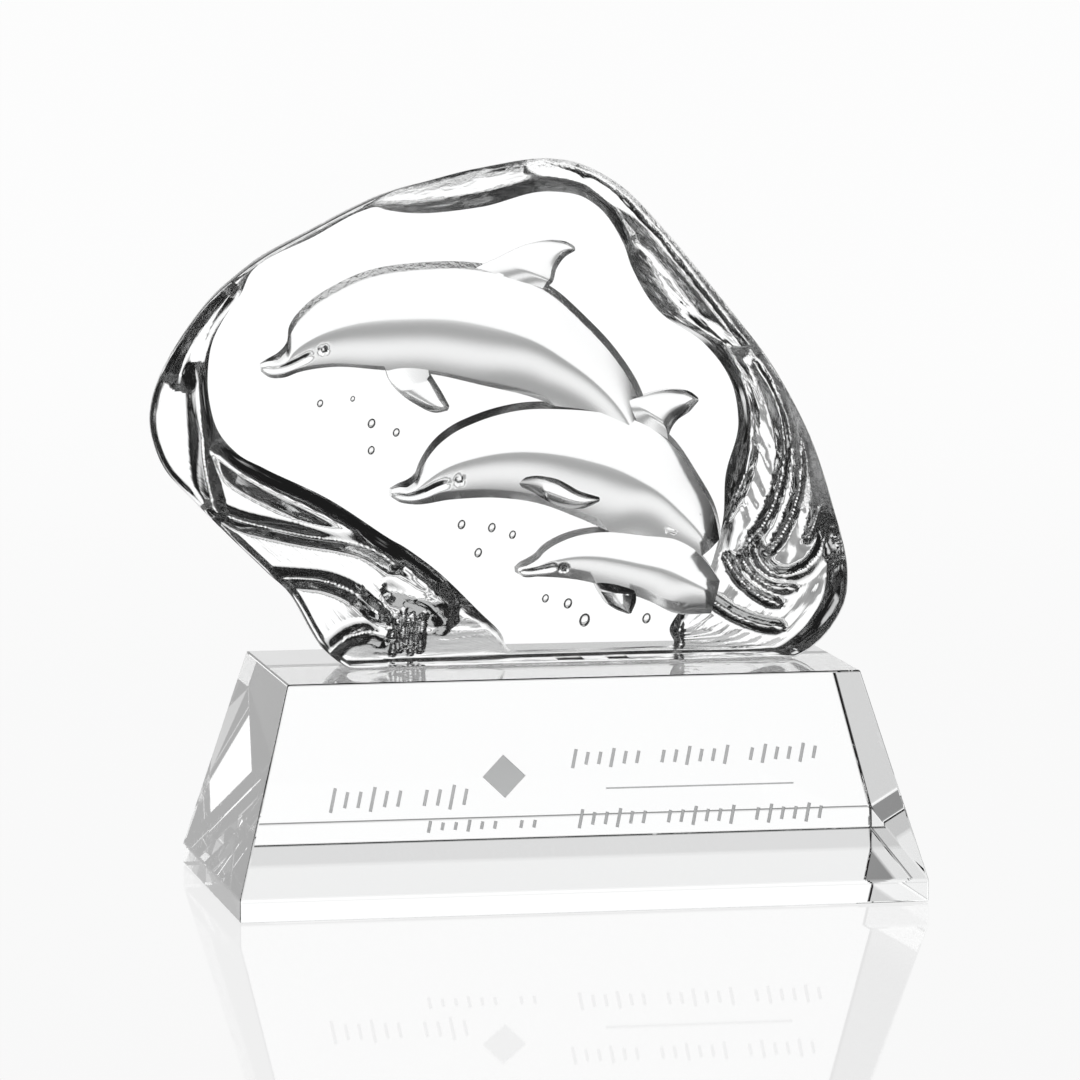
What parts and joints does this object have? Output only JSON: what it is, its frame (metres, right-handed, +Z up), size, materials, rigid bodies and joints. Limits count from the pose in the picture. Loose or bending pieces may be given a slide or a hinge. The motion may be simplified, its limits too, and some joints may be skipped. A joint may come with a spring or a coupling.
{
  "type": "crystal dolphin trophy",
  "caption": "Clear crystal award: a polished slab with leaping dolphins pressed into its back and a carved water rim, standing on a sloped crystal block.",
  "frame": {"origin": "centre of the block's underside, on the surface it stands on", "axes": "+Z up, +Y to the back, +X to the right of someone facing the polished front"},
  "size_m": [0.1941, 0.0976, 0.1885],
  "materials": {
    "base_crystal": "polished clear crystal",
    "sculpture_crystal": "clear crystal, polished front, moulded back"
  },
  "bodies": {
    "root": {"crystal_base": "base_crystal", "dolphin_crystal": "sculpture_crystal"}
  },
  "joints": []
}
